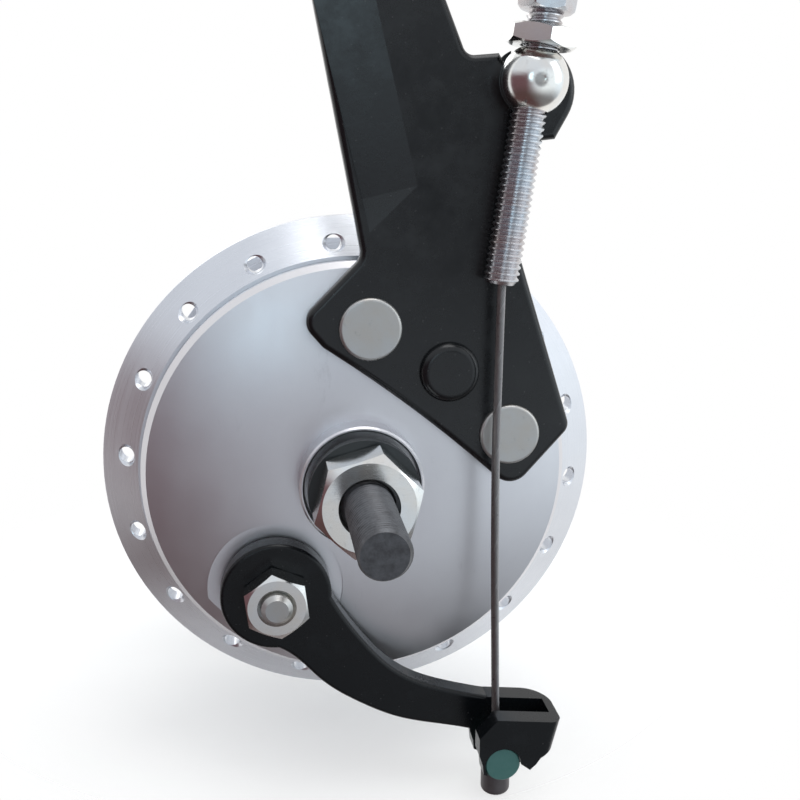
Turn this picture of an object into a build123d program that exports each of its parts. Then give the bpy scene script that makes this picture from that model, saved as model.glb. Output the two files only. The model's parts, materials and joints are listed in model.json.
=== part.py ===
from build123d import *
import math
import os

# Drum brake front hub for a bicycle or cargo trike, in millimetres.
# The origin is the centre of the circle of spoke holes on the brake side. +Y runs along the axle, away
# from the brake plate. Seen from the brake plate, +X is to the right and +Z is up.

# Drum
drum_bore_dia = 70.0
liner_thickness = 2.5
drum_wall = 4.6
drum_floor_y = 22.5
drum_floor_thickness = 3.9
drum_draft = 0.8
shell_front_y = -2.0

# Spoke flanges: the brake-side one is a cone that leans back towards its rim
spokes_per_flange = 18
spoke_hole_dia = 3.0
spoke_sink_dia = 4.4
first_spoke_angle = 94.65
spoke_hole_inset = 4.9
brake_flange_reach = 14.4
brake_flange_lean = 39.7
brake_flange_thickness = 3.2
brake_rim_width = 3.1
brake_rim_round = 1.2
far_flange_dia = 84.0
far_hole_inset = 4.5
far_flange_middle_y = 45.8
far_flange_thickness = 3.2

# Hub barrel and bearings
barrel_dia = 31.0
barrel_bore_dia = 21.0
boss_dia = 32.0
cup_dia = 26.0
ball_dia = 4.7625
balls_per_row = 10
ball_circle_dia = 19.8
race_clearance = 0.05
brake_ball_y = 26.9
far_ball_y = 56.5
cup_length = 6.4
cup_lead = 2.4
cone_body_dia = 18.8
cone_nose_length = 1.7
cone_shoulder = 6.4
cone_spanner_flats = 15.0
cone_flats_length = 5.2
cup_throat_step = 1.0
dust_cap_thickness = 0.8
dust_cap_dia = 29.6
dust_cap_gap = 0.5
dust_cap_set_in = 0.9
retainer_thickness = 0.6
retainer_gap = 0.3
retainer_set_in = 0.7
retainer_pocket_gap = 0.1

# Axle and what is stacked on it
axle_dia = 9.0
axle_middle_dia = 8.6
axle_step_gap = 0.3
axle_fit = 0.04
press_fit_allowance = 0.02
axle_overhang = 21.9
axle_end_chamfer = 0.5
over_locknut = 100.0
brake_locknut_face_y = -25.8
locknut_flats = 17.5
locknut_height = 7.6
locknut_mouth_dia = 11.1
locknut_corner_angle = 15.0
nut_face_share = 0.96
washer_thickness = 2.0
washer_dia = 20.8
spacer_dia = 17.0
sleeve_dia = 13.0
far_washer_dia = 18.0

# Brake plate: a dome with a raised collar round the axle
plate_overlap = 6.4
plate_edge_y = -4.7
plate_edge_round = 1.1
plate_dome_y = -8.9
plate_dome_mid_y = -8.2
plate_dome_mid_radius = 27.0
plate_dome_edge_y = -6.1
plate_skin = 2.8
plate_gap = 0.4
spigot_inset = 2.0
spigot_width = 2.2
spigot_depth = 1.5
inner_pad_height = 1.8
collar_outer_dia = 23.6
collar_inner_dia = 21.7
collar_top_y = -13.9
collar_floor_y = -11.5
collar_round = 0.35
plate_hub_dia = 18.0
plate_hub_y = -4.0

# Anchor and cam lie opposite each other
brake_line_angle = 52.0
brake_centre_radius = 27.0
anchor_pin_dia = 9.0
anchor_journal_dia = 7.2
anchor_fit = 0.04
arm_pad_dia = 13.0
cam_pad_dia = 26.2
cam_pad_y = -8.2
cam_boss_dia = 19.0
cam_boss_y = -1.0
cam_shaft_dia = 10.0
cam_bush_dia = 14.0
cam_fit = 0.05
anchor_end_gap = 0.6
cam_half_thickness = 4.0
cam_half_length = 3.3
cam_edge_round = 0.4
cam_square = 7.2
cam_square_fit = 0.05
cam_square_short = 0.3
cam_thread_dia = 5.9
cam_nut_flats = 11.3
cam_nut_height = 4.8
cam_nut_corner_angle = 36.6
cam_nut_mouth_step = 1.3
cam_tip_stand = 1.4
cam_tip_chamfer = 0.8
cam_washer_dia = 16.0
cam_washer_thickness = 0.9

# Reaction arm: a pressed plate, its outline seen from the brake side as (x, z)
arm_thickness = 2.5
arm_back_y = -9.4
arm_edge_round = 1.2
arm_end_x = -10.8
arm_end_z = 148.0
arm_end_radius = 8.0
arm_end_lean = 10.5
clip_hole_dia = 6.5
rivet_radius = 29.7
rivet_left_angle = 86.3
rivet_right_angle = 17.3
rivet_head_dia = 11.6
rivet_head_height = 0.9
rivet_shank_dia = 7.0
rivet_inner_head_dia = 10.0
rivet_inner_head_height = 1.4
rivet_edge_round = 0.6
anchor_bump_dia = 11.3
anchor_bump_height = 1.7
anchor_bump_round = 1.6
lug_radius = 8.3
nut_pocket_floor = 4.2
nut_pocket_half_width = 5.4
press_fold_foot = (10.5, 55.2)
press_fold_head = (-6.2, 126.0)
press_width = 10.3
press_depth = 1.3
press_runout = 6.0

# Brake shoes
shoe_front_y = 1.5
shoe_width = 17.0
shoe_table_thickness = 3.9
shoe_web_depth = 9.0
shoe_web_thickness = 6.0
shoe_end_radius = 6.2
shoe_split = 0.3
shoe_cam_gap = 0.1
lining_clearance = 0.32
lining_thickness = 3.18
lining_start_angle = 26.0
lining_end_angle = 152.0

# Shoe springs
spring_wire_dia = 1.0
spring_coil_dia = 5.0
spring_turns = 12
spring_pitch = 1.45
spring_offset = 16.0
spring_anchor_reach = 19.4
spring_y = 4.2
spring_hook_stop = 1.0
spring_hole_dia = 1.6

# Lever and the fork at its end
lever_back_y = -9.2
lever_thickness = 4.2
lever_end_radius = 10.6
lever_edge_round = 0.7
fork_slot_width = 5.2
fork_tab_thickness = 3.8
fork_right_x = 37.9
fork_right_lean = 14.0
fork_web = 1.7
fork_height = 8.4
fork_hook_angle = 35.0
fork_rear_round = 5.5
fork_front_round = 2.4
cable_end_x = 26.2
cable_end_z = -55.4
cross_barrel_dia = 7.0
cross_barrel_fit = 0.08
cross_barrel_inset = 0.4
cross_barrel_chamfer = 0.25
stem_dia = 5.8
stem_neck_gap = 0.15
stem_neck_length = 3.8
stem_bottom_z = -64.7
stem_end_round = 1.0

# Cable adjuster
trunnion_x = 30.1
trunnion_z = 73.0
trunnion_head_dia = 11.8
trunnion_shoulder = 4.2
trunnion_straight = 0.6
trunnion_dome = 4.0
trunnion_shank_dia = 8.0
trunnion_fit = 0.05
trunnion_arm_gap = 0.3
trunnion_dimple_dia = 1.4
trunnion_dimple_depth = 0.4
clip_thickness = 0.8
clip_dia = 12.0
clip_gap = 0.15
clip_groove_depth = 0.6
clip_mouth = 5.0
adjuster_lean = 8.43
adjuster_dia = 6.3
adjuster_tail = 35.3
adjuster_tip_chamfer = 1.0
adjuster_bore_dia = 2.8
adjuster_nut_flats = 11.3
adjuster_nut_height = 3.2
adjuster_nut_seat = 5.5
adjuster_nut_corner_angle = 29.0
adjuster_nut_mouth_step = 0.8
adjuster_head_start = 11.2
adjuster_head_length = 11.0
adjuster_head_flats = 8.7
adjuster_head_corner_angle = 52.0
adjuster_head_chamfer = 1.4
casing_socket_dia = 5.2
casing_socket_depth = 8.0
drill_point_angle = 118.0
thread_fit = 0.05

# Inner wire
wire_dia = 1.6
wire_bow_x = 24.65
wire_bow_z = -5.0
wire_entry_depth = 2.0
wire_bend_radius = 20.0
wire_top_below_socket = 0.3
wire_hole_fit = 0.02

# Values that follow from the ones above
lever_front_y = lever_back_y - lever_thickness
arm_front_y = arm_back_y - arm_thickness
cable_y = lever_front_y - fork_slot_width / 2
fork_front_y = lever_front_y - fork_slot_width - fork_tab_thickness
far_locknut_face_y = brake_locknut_face_y + over_locknut
lean_slope = math.tan(math.radians(brake_flange_lean))
drum_radius = drum_bore_dia / 2
brake_flange_dia = drum_bore_dia + 2 * brake_flange_reach
brake_spoke_circle_dia = brake_flange_dia - 2 * spoke_hole_inset
far_spoke_circle_dia = far_flange_dia - 2 * far_hole_inset
brake_circle_radius = brake_spoke_circle_dia / 2
plate_dia = drum_bore_dia + 2 * plate_overlap
shoe_table_radius = drum_radius - lining_clearance - lining_thickness
shoe_web_inner_radius = shoe_table_radius - shoe_web_depth
shell_bore_radius = drum_radius + liner_thickness
drum_outer_radius = shell_bore_radius + drum_wall
spigot_radius = plate_dia / 2 - spigot_inset
anchor_x = brake_centre_radius * math.cos(math.radians(brake_line_angle))
anchor_z = brake_centre_radius * math.sin(math.radians(brake_line_angle))
cam_x = -anchor_x
cam_z = -anchor_z
inner_pad_y = plate_dome_mid_y + plate_skin + inner_pad_height


def along_y(x, y, z):
    """A plane at (x, y, z) whose local Z runs along the axle."""
    return Plane(origin=(x, y, z), x_dir=(1, 0, 0), z_dir=(0, 1, 0))


def facing_front(y):
    """A plane at this y, seen from the brake side: local x and y are the hub's x and z."""
    return Plane(origin=(0, y, 0), x_dir=(1, 0, 0), z_dir=(0, -1, 0))


def upright(dia, length):
    """A cylinder that stands on the local plane."""
    return Cylinder(dia / 2, length, align=(Align.CENTER, Align.CENTER, Align.MIN))


def rod(dia, y_start, y_end, x=0.0, z=0.0):
    return along_y(x, y_start, z) * upright(dia, y_end - y_start)


def tube(outer_dia, inner_dia, y_start, y_end, x=0.0, z=0.0):
    margin = 1.0
    return rod(outer_dia, y_start, y_end, x, z) - rod(inner_dia, y_start - margin, y_end + margin, x, z)


def turned(points):
    """A solid turned about the axle from an outline of (radius, y) points."""
    outline = Polyline(*[(radius, y, 0) for radius, y in points], close=True)
    return revolve(make_face(outline), axis=Axis.Y)


def slab(outline, y_back, thickness):
    """A flat outline of (x, z) made solid from y_back towards the brake side."""
    return extrude(facing_front(y_back) * make_face(outline), amount=thickness)


def polar(radius, angle):
    return radius * math.cos(math.radians(angle)), radius * math.sin(math.radians(angle))


def hexagon_nut(flats, height, bore_dia, mouth_dia, corner_angle):
    """A nut on local +Z with both ends chamfered and its bore countersunk."""
    corner_radius = flats / math.sqrt(3)
    face_radius = nut_face_share * flats / 2
    chamfer_height = (corner_radius - face_radius) * math.tan(math.radians(30))
    prism = extrude(RegularPolygon(corner_radius, 6, rotation=corner_angle), amount=height)
    turned_outline = Polyline(
        (0, 0, 0),
        (face_radius, 0, 0),
        (corner_radius, 0, chamfer_height),
        (corner_radius, 0, height - chamfer_height),
        (face_radius, 0, height),
        (0, 0, height),
        close=True,
    )
    envelope = revolve(make_face(turned_outline), axis=Axis.Z)
    nut = prism & envelope
    nut -= Cylinder(bore_dia / 2, 3 * height)
    sink = (mouth_dia - bore_dia) / 2
    nut -= Pos(0, 0, height - sink / 2) * Cone(bore_dia / 2, mouth_dia / 2, sink)
    nut -= Pos(0, 0, sink / 2) * Cone(mouth_dia / 2, bore_dia / 2, sink)
    return nut


# Axle line


def make_axle():
    tip = brake_locknut_face_y - axle_overhang
    tail = far_locknut_face_y + axle_overhang
    brake_end = rod(axle_dia, tip, brake_locknut_face_y - axle_step_gap)
    far_end = rod(axle_dia, far_locknut_face_y + axle_step_gap, tail)
    brake_end = chamfer(brake_end.faces().sort_by(Axis.Y)[0].edges(), axle_end_chamfer)
    far_end = chamfer(far_end.faces().sort_by(Axis.Y)[-1].edges(), axle_end_chamfer)
    middle = rod(axle_middle_dia, brake_locknut_face_y - axle_step_gap, far_locknut_face_y + axle_step_gap)
    return brake_end + middle + far_end


def make_locknut(face_y, towards):
    """A locknut whose outer face is at face_y; towards is -1 on the brake side and 1 on the far side."""
    bore = axle_dia + 2 * axle_fit
    nut = hexagon_nut(locknut_flats, locknut_height, bore, locknut_mouth_dia, locknut_corner_angle)
    inner_face = face_y - towards * locknut_height
    seat = Plane(origin=(0, inner_face, 0), x_dir=(1, 0, 0), z_dir=(0, towards, 0))
    return seat * nut


def make_plate_washer():
    outer = brake_locknut_face_y + locknut_height
    return tube(washer_dia, axle_dia + 2 * axle_fit, outer, outer + washer_thickness)


def make_plate_spacer():
    outer = brake_locknut_face_y + locknut_height + washer_thickness
    return tube(spacer_dia, axle_dia + 2 * axle_fit, outer, collar_floor_y)


def make_axle_sleeve():
    return tube(sleeve_dia, axle_dia + 2 * axle_fit, plate_hub_y, brake_ball_y - cone_shoulder)


def make_far_washer():
    outer = far_locknut_face_y - locknut_height
    return tube(far_washer_dia, axle_dia + 2 * axle_fit, outer - washer_thickness, outer)


def ball_groove(y):
    groove = Torus(ball_circle_dia / 2, ball_dia / 2 + race_clearance)
    return along_y(0, y, 0) * groove


def make_cone(ball_y, outward, back_y):
    """A bearing cone; outward is the sign of the way along the axle that its back lies."""
    nose_dia = ball_circle_dia - ball_dia - 2 * race_clearance
    nose_y = ball_y - outward * cone_nose_length
    body = rod(cone_body_dia, min(ball_y, back_y), max(ball_y, back_y))
    nose = rod(nose_dia, min(nose_y, ball_y), max(nose_y, ball_y))
    cone = body + nose - ball_groove(ball_y)
    return cone - rod(axle_dia + 2 * axle_fit, min(nose_y, back_y) - 1, max(nose_y, back_y) + 1)


def make_brake_side_cone():
    return make_cone(brake_ball_y, -1, brake_ball_y - cone_shoulder)


def make_far_side_cone():
    back_y = far_locknut_face_y - locknut_height - washer_thickness
    cone = make_cone(far_ball_y, 1, back_y)
    flat_start = back_y - cone_flats_length
    corner = (Align.CENTER, Align.MIN, Align.MIN)
    for side in (-1, 1):
        flat = Box(3 * cone_body_dia, cone_flats_length, cone_body_dia, align=corner)
        flat = Rot(0, 90 - 90 * side, 0) * Pos(0, flat_start, cone_spanner_flats / 2) * flat
        cone -= flat
    return cone


# Bearing parts that turn with the hub


def make_cup(ball_y, outward):
    """A pressed-in cup that opens outwards."""
    mouth_y = ball_y + outward * cup_lead
    floor_y = mouth_y - outward * cup_length
    ring = tube(cup_dia, ball_circle_dia + cup_throat_step, min(mouth_y, floor_y), max(mouth_y, floor_y))
    throat_dia = ball_circle_dia + ball_dia + 2 * race_clearance
    throat_end = ball_y + outward * (cup_lead + 1)
    ring -= rod(throat_dia, min(ball_y, throat_end), max(ball_y, throat_end))
    return ring - ball_groove(ball_y)


def make_balls(ball_y):
    balls = []
    for index in range(balls_per_row):
        x, z = polar(ball_circle_dia / 2, index * 360 / balls_per_row)
        balls.append(Pos(x, ball_y, z) * Sphere(ball_dia / 2))
    return Compound(balls)


def make_retainer(ball_y, outward):
    """The cage ring on the open side of the balls, with a scoop for each ball."""
    near = ball_y + outward * (ball_dia / 2 - retainer_set_in)
    far = near + outward * retainer_thickness
    outer_dia = ball_circle_dia + ball_dia - retainer_gap
    ring = tube(outer_dia, cone_body_dia + 2 * retainer_gap, min(near, far), max(near, far))
    for index in range(balls_per_row):
        x, z = polar(ball_circle_dia / 2, index * 360 / balls_per_row)
        ring -= Pos(x, ball_y, z) * Sphere(ball_dia / 2 + retainer_pocket_gap)
    return ring


def make_dust_cap(ball_y, outward):
    inner = ball_y + outward * (cup_lead + dust_cap_set_in)
    outer = inner + outward * dust_cap_thickness
    return tube(dust_cap_dia, cone_body_dia + 2 * dust_cap_gap, min(inner, outer), max(inner, outer))


def make_drum_liner():
    return tube(2 * shell_bore_radius, drum_bore_dia, plate_gap, drum_floor_y)


def flange_front_y(radius):
    """Where the leaning face of the brake-side flange lies at this radius."""
    return (radius - brake_circle_radius) * lean_slope


def spoke_holes(circle_dia, y_low, y_high):
    holes = []
    for index in range(spokes_per_flange):
        angle = first_spoke_angle + index * 360 / spokes_per_flange
        x, z = polar(circle_dia / 2, angle)
        holes.append(rod(spoke_hole_dia, y_low, y_high, x, z))
    return holes


def spoke_sinks(circle_dia, face_y, lean, outward):
    """Countersinks square to a flange face that leans by this many degrees."""
    sinks = []
    depth = (spoke_sink_dia - spoke_hole_dia) / 2
    for index in range(spokes_per_flange):
        angle = first_spoke_angle + index * 360 / spokes_per_flange
        x, z = polar(circle_dia / 2, angle)
        spread = math.sin(math.radians(lean))
        normal = (
            spread * math.cos(math.radians(angle)),
            outward * math.cos(math.radians(lean)),
            spread * math.sin(math.radians(angle)),
        )
        mouth = Plane(origin=(x, face_y, z), z_dir=normal)
        sinks.append(mouth * Cone(spoke_hole_dia / 2, spoke_sink_dia / 2 + depth, 2 * depth))
    return sinks


def make_hub_shell():
    rim_radius = brake_flange_dia / 2
    lean_depth = brake_flange_thickness / math.cos(math.radians(brake_flange_lean))
    rim_front = flange_front_y(rim_radius)
    rim_back = rim_front + brake_rim_width
    back_round_radius = rim_radius - brake_rim_round
    lip_radius = brake_circle_radius + shell_front_y / lean_slope
    drum_back = drum_floor_y + drum_floor_thickness
    far_front = far_flange_middle_y - far_flange_thickness / 2
    far_back = far_flange_middle_y + far_flange_thickness / 2
    brake_mouth = brake_ball_y - cup_lead
    far_mouth = far_ball_y + cup_lead
    far_end = far_mouth + dust_cap_set_in + dust_cap_thickness
    register_radius = spigot_radius + plate_gap
    shell = turned([
        (register_radius, shell_front_y),
        (lip_radius, shell_front_y),
        (rim_radius, rim_front),
        (rim_radius, rim_back),
        (back_round_radius, flange_front_y(back_round_radius) + lean_depth),
        (drum_outer_radius, flange_front_y(drum_outer_radius) + lean_depth),
        (drum_outer_radius - drum_draft, drum_floor_y),
        (drum_outer_radius - drum_draft - 1.6, drum_back - 1.2),
        (drum_outer_radius - drum_draft - 3.6, drum_back),
        (barrel_dia / 2 + 8.5, drum_back + 1.2),
        (barrel_dia / 2 + 3.0, drum_back + 4.6),
        (barrel_dia / 2, drum_back + 9.0),
        (barrel_dia / 2, far_front - 3.0),
        (barrel_dia / 2 + 3.0, far_front),
        (far_flange_dia / 2, far_front),
        (far_flange_dia / 2, far_back),
        (boss_dia / 2 + 2.0, far_back),
        (boss_dia / 2, far_back + 2.0),
        (boss_dia / 2, far_end),
        (dust_cap_dia / 2, far_end),
        (dust_cap_dia / 2, far_mouth),
        (cup_dia / 2, far_mouth),
        (cup_dia / 2, far_mouth - cup_length),
        (barrel_bore_dia / 2, far_mouth - cup_length),
        (barrel_bore_dia / 2, brake_mouth + cup_length),
        (cup_dia / 2, brake_mouth + cup_length),
        (cup_dia / 2, brake_mouth),
        (dust_cap_dia / 2, brake_mouth),
        (dust_cap_dia / 2, drum_floor_y),
        (shell_bore_radius, drum_floor_y),
        (shell_bore_radius, plate_gap),
        (register_radius, plate_gap),
    ])
    for hole in spoke_holes(brake_spoke_circle_dia, -brake_rim_width, rim_back + brake_rim_width):
        shell -= hole
    for hole in spoke_holes(far_spoke_circle_dia, far_front - 1, far_back + 1):
        shell -= hole
    for sink in spoke_sinks(brake_spoke_circle_dia, 0, brake_flange_lean, -1):
        shell -= sink
    for sink in spoke_sinks(far_spoke_circle_dia, far_back, 0, 1):
        shell -= sink
    return shell


# Brake plate


def plate_outline():
    """The plate's section from its axle hole to its rim and back, as a wire of (radius, y)."""
    hole = axle_dia / 2 + axle_fit
    rim = plate_dia / 2
    rim_back = shell_front_y - plate_gap
    dome_start = collar_outer_dia / 2
    edge_inner = rim - plate_edge_round
    spigot_inner = spigot_radius - spigot_width
    front = [
        Polyline(
            (hole, collar_floor_y),
            (collar_inner_dia / 2, collar_floor_y),
            (collar_inner_dia / 2, collar_top_y + collar_round),
            (collar_inner_dia / 2 + collar_round, collar_top_y),
            (dome_start - collar_round, collar_top_y),
            (dome_start, collar_top_y + collar_round),
            (dome_start, plate_dome_y),
        ),
        ThreePointArc(
            (dome_start, plate_dome_y),
            (plate_dome_mid_radius, plate_dome_mid_y),
            (edge_inner, plate_dome_edge_y),
        ),
        Line((edge_inner, plate_dome_edge_y), (rim, plate_edge_y)),
    ]
    back = Polyline(
        (rim, plate_edge_y),
        (rim, rim_back),
        (spigot_radius, rim_back),
        (spigot_radius, shell_front_y + spigot_depth),
        (spigot_inner, shell_front_y + spigot_depth),
        (spigot_inner, plate_dome_edge_y + plate_skin),
        (plate_dome_mid_radius, plate_dome_mid_y + plate_skin),
        (plate_hub_dia / 2, plate_dome_y + plate_skin),
        (plate_hub_dia / 2, plate_hub_y),
        (hole, plate_hub_y),
        (hole, collar_floor_y),
    )
    return front + [back]


def rivet_places():
    return [polar(rivet_radius, rivet_left_angle), polar(rivet_radius, rivet_right_angle)]


def make_brake_plate():
    plate = revolve(make_face(plate_outline()), axis=Axis.Y)
    pad_places = rivet_places() + [(anchor_x, anchor_z)]
    for x, z in pad_places:
        plate += rod(arm_pad_dia, arm_back_y, inner_pad_y, x, z)
    plate -= rod(cam_pad_dia, collar_top_y, cam_pad_y, cam_x, cam_z) - rod(collar_outer_dia, collar_top_y, 0)
    plate += rod(cam_boss_dia, cam_pad_y, cam_boss_y, cam_x, cam_z)
    rim_limit = rod(2 * (spigot_radius - spigot_width) + plate_gap, cam_pad_y, 0)
    plate += rod(cam_pad_dia, cam_pad_y, plate_dome_mid_y + plate_skin, cam_x, cam_z) & rim_limit
    margin = 1.0
    for x, z in rivet_places():
        plate -= rod(rivet_shank_dia + press_fit_allowance, arm_back_y - margin, inner_pad_y + margin, x, z)
    pin_hole_dia = anchor_pin_dia + 2 * anchor_fit
    plate -= rod(pin_hole_dia, arm_back_y - margin, inner_pad_y + margin, anchor_x, anchor_z)
    plate -= rod(cam_bush_dia + press_fit_allowance, cam_pad_y - margin, cam_boss_y + margin, cam_x, cam_z)
    return plate


def make_cam_bush():
    return tube(cam_bush_dia, cam_shaft_dia + 2 * cam_fit, cam_pad_y, cam_boss_y, cam_x, cam_z)


def make_anchor_pin():
    head_end = shoe_front_y - anchor_end_gap
    pin_end = shoe_front_y + shoe_width + anchor_end_gap
    head = rod(anchor_pin_dia, arm_back_y, head_end, anchor_x, anchor_z)
    journal = rod(anchor_journal_dia, head_end, pin_end, anchor_x, anchor_z)
    return head + journal


# Reaction arm


def nut_pocket():
    """The flat pocket in the lug, square to the adjuster, that lets its locknut turn and swivel."""
    width = 2 * nut_pocket_half_width
    pocket = Box(width, 8 * arm_thickness, lug_radius, align=(Align.MAX, Align.CENTER, Align.MIN))
    return adjuster_plane(nut_pocket_floor) * Pos(nut_pocket_half_width, 0, 0) * pocket


def arm_outline():
    """The arm seen from the brake side, clockwise from its lower left corner."""
    end_centre = Vector(arm_end_x, arm_end_z)
    lean = math.radians(arm_end_lean)
    across_end = Vector(math.cos(lean), math.sin(lean)) * arm_end_radius
    along_end = Vector(-math.sin(lean), math.cos(lean)) * arm_end_radius
    left_side = Polyline(
        (-10.9, 31.2),
        (0.5, 42.6),
        (-0.8, 50.0),
        (-7.5, 86.1),
        end_centre - across_end,
    )
    end_right = end_centre + across_end
    end_arc = ThreePointArc(left_side @ 1, end_centre + along_end, end_right)
    lug_start = (trunnion_x - 2.3, trunnion_z + 6.5)
    right_top = Polyline(
        end_right,
        (6.5, 108.0),
        (19.2, 77.4),
        (25.0, 77.9),
        (26.3, 75.7),
        lug_start,
    )
    lug_reach = math.radians(17)
    lug_side = (trunnion_x + lug_radius * math.cos(lug_reach), trunnion_z + lug_radius * math.sin(lug_reach))
    lug_foot = (trunnion_x + 7.8, trunnion_z - 5.6)
    lug_arc = ThreePointArc(lug_start, lug_side, lug_foot)
    right_side = Polyline(
        lug_foot,
        (35.6, 63.3),
        (32.8, 63.0),
        (30.4, 54.2),
        (29.4, 43.6),
        (40.5, 9.6),
        (29.4, -2.6),
        (25.2, 1.1),
    )
    lower_edge = ThreePointArc((25.2, 1.1), (9.7, 14.3), (-6.8, 26.3))
    close_left = Line((-6.8, 26.3), (-10.9, 31.2))
    return [left_side, end_arc, right_top, lug_arc, right_side, lower_edge, close_left]


def press_wedge(y_front):
    """The shallow facet pressed into the arm's left side, as the space it takes from a front face."""
    foot = Vector(press_fold_foot[0], y_front, press_fold_foot[1])
    head = Vector(press_fold_head[0], y_front, press_fold_head[1])
    lengthwise = (head - foot).normalized()
    across = Vector(-lengthwise.Z, 0, lengthwise.X)
    left_foot = foot + across * press_width - lengthwise * press_runout
    left_head = head + across * press_width
    deep_foot = foot + across * press_width + Vector(0, press_depth, 0)
    deep_head = left_head - lengthwise * press_runout + Vector(0, press_depth, 0)
    corners = [
        [foot, head, left_head, left_foot],
        [foot, head, deep_head, deep_foot],
        [left_foot, left_head, deep_head, deep_foot],
        [foot, left_foot, deep_foot],
        [head, left_head, deep_head],
    ]
    faces = [make_face(Polyline(*points, close=True)).face() for points in corners]
    return Solid(Shell(faces))


def make_reaction_arm():
    plate = slab(arm_outline(), arm_back_y, arm_thickness)
    corner_rounds = {
        (-10.9, 31.2): 3.4,
        (0.5, 42.6): 3.0,
        (6.5, 108.0): 30.0,
        (19.2, 77.4): 2.0,
        (26.3, 75.7): 0.6,
        (29.4, 43.6): 4.0,
        (40.5, 9.6): 2.6,
        (29.4, -2.6): 4.0,
        (-6.8, 26.3): 2.0,
    }
    for (x, z), radius in corner_rounds.items():
        corner_edge = plate.edges().filter_by(Axis.Y).sort_by_distance((x, arm_back_y, z))[0]
        plate = fillet(corner_edge, radius)
    front_edges = plate.faces().sort_by(Axis.Y)[0].edges()
    plate = fillet(front_edges, arm_edge_round)
    wedge = press_wedge(arm_front_y)
    pressed_back = Pos(0, arm_thickness, 0) * wedge
    plate = plate - wedge + pressed_back
    bump = rod(anchor_bump_dia, arm_front_y - anchor_bump_height, arm_back_y, anchor_x, anchor_z)
    bump = fillet(bump.faces().sort_by(Axis.Y)[0].edges(), anchor_bump_round)
    plate += bump
    margin = 1.0
    front = arm_front_y - margin
    back = arm_back_y + margin
    for x, z in rivet_places():
        plate -= rod(rivet_shank_dia + press_fit_allowance, front, back, x, z)
    plate -= rod(trunnion_shank_dia + 2 * trunnion_fit, front, back, trunnion_x, trunnion_z)
    plate -= rod(clip_hole_dia, front, back, arm_end_x, arm_end_z)
    return plate - nut_pocket()


def make_arm_rivets():
    rivets = []
    for x, z in rivet_places():
        head = rod(rivet_head_dia, arm_front_y - rivet_head_height, arm_front_y, x, z)
        head = fillet(head.faces().sort_by(Axis.Y)[0].edges(), rivet_edge_round)
        shank = rod(rivet_shank_dia, arm_front_y, inner_pad_y, x, z)
        inner_head = rod(rivet_inner_head_dia, inner_pad_y, inner_pad_y + rivet_inner_head_height, x, z)
        rivets.append(head + shank + inner_head)
    return Compound(rivets)


# Shoes, in a plane whose local x points at the anchor pin


def shoe_plane(y, side):
    """side 1 is the shoe above the line from cam to anchor, -1 the one below it."""
    towards_anchor = (math.cos(math.radians(brake_line_angle)), 0, math.sin(math.radians(brake_line_angle)))
    return Plane(origin=(0, y, 0), x_dir=towards_anchor, z_dir=(0, -side, 0))


def ring_face(outer_radius, inner_radius):
    return Circle(outer_radius) - Circle(inner_radius)


def half_above(v_low):
    reach = 2 * drum_radius
    return Pos(0, v_low + reach / 2) * Rectangle(2 * reach, reach)


def make_shoe(side):
    back_y = shoe_front_y + shoe_width
    web_back_y = shoe_front_y + (shoe_width + shoe_web_thickness) / 2
    table_inner = shoe_table_radius - shoe_table_thickness
    end_lug = Pos(brake_centre_radius, 0) * Circle(shoe_end_radius)
    pin_hole = Pos(brake_centre_radius, 0) * Circle(anchor_journal_dia / 2 + anchor_fit)
    cam_face = cam_half_thickness + shoe_cam_gap
    cam_cut = Pos(-brake_centre_radius, 0) * Rectangle(2 * shoe_end_radius + 8, 2 * cam_face)
    table = (ring_face(shoe_table_radius, table_inner) + end_lug) & half_above(shoe_split)
    table = table - pin_hole - cam_cut
    web = (ring_face(shoe_table_radius, shoe_web_inner_radius) + end_lug) & half_above(shoe_split)
    web = web - pin_hole - cam_cut
    for place in (spring_offset, -spring_offset):
        web -= Pos(place, spring_anchor_reach) * Circle(spring_hole_dia / 2)
    shoe = extrude(shoe_plane(back_y, side) * table, amount=side * shoe_width)
    shoe += extrude(shoe_plane(web_back_y, side) * web, amount=side * shoe_web_thickness)
    return shoe


def make_lining(side):
    back_y = shoe_front_y + shoe_width
    outer = drum_radius - lining_clearance
    reach = 2 * drum_radius
    start = polar(reach, lining_start_angle)
    middle = polar(reach, (lining_start_angle + lining_end_angle) / 2)
    end = polar(reach, lining_end_angle)
    sector = make_face(Polyline((0, 0), start, middle, end, close=True))
    lining = ring_face(outer, shoe_table_radius) & sector
    return extrude(shoe_plane(back_y, side) * lining, amount=side * shoe_width)


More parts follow.
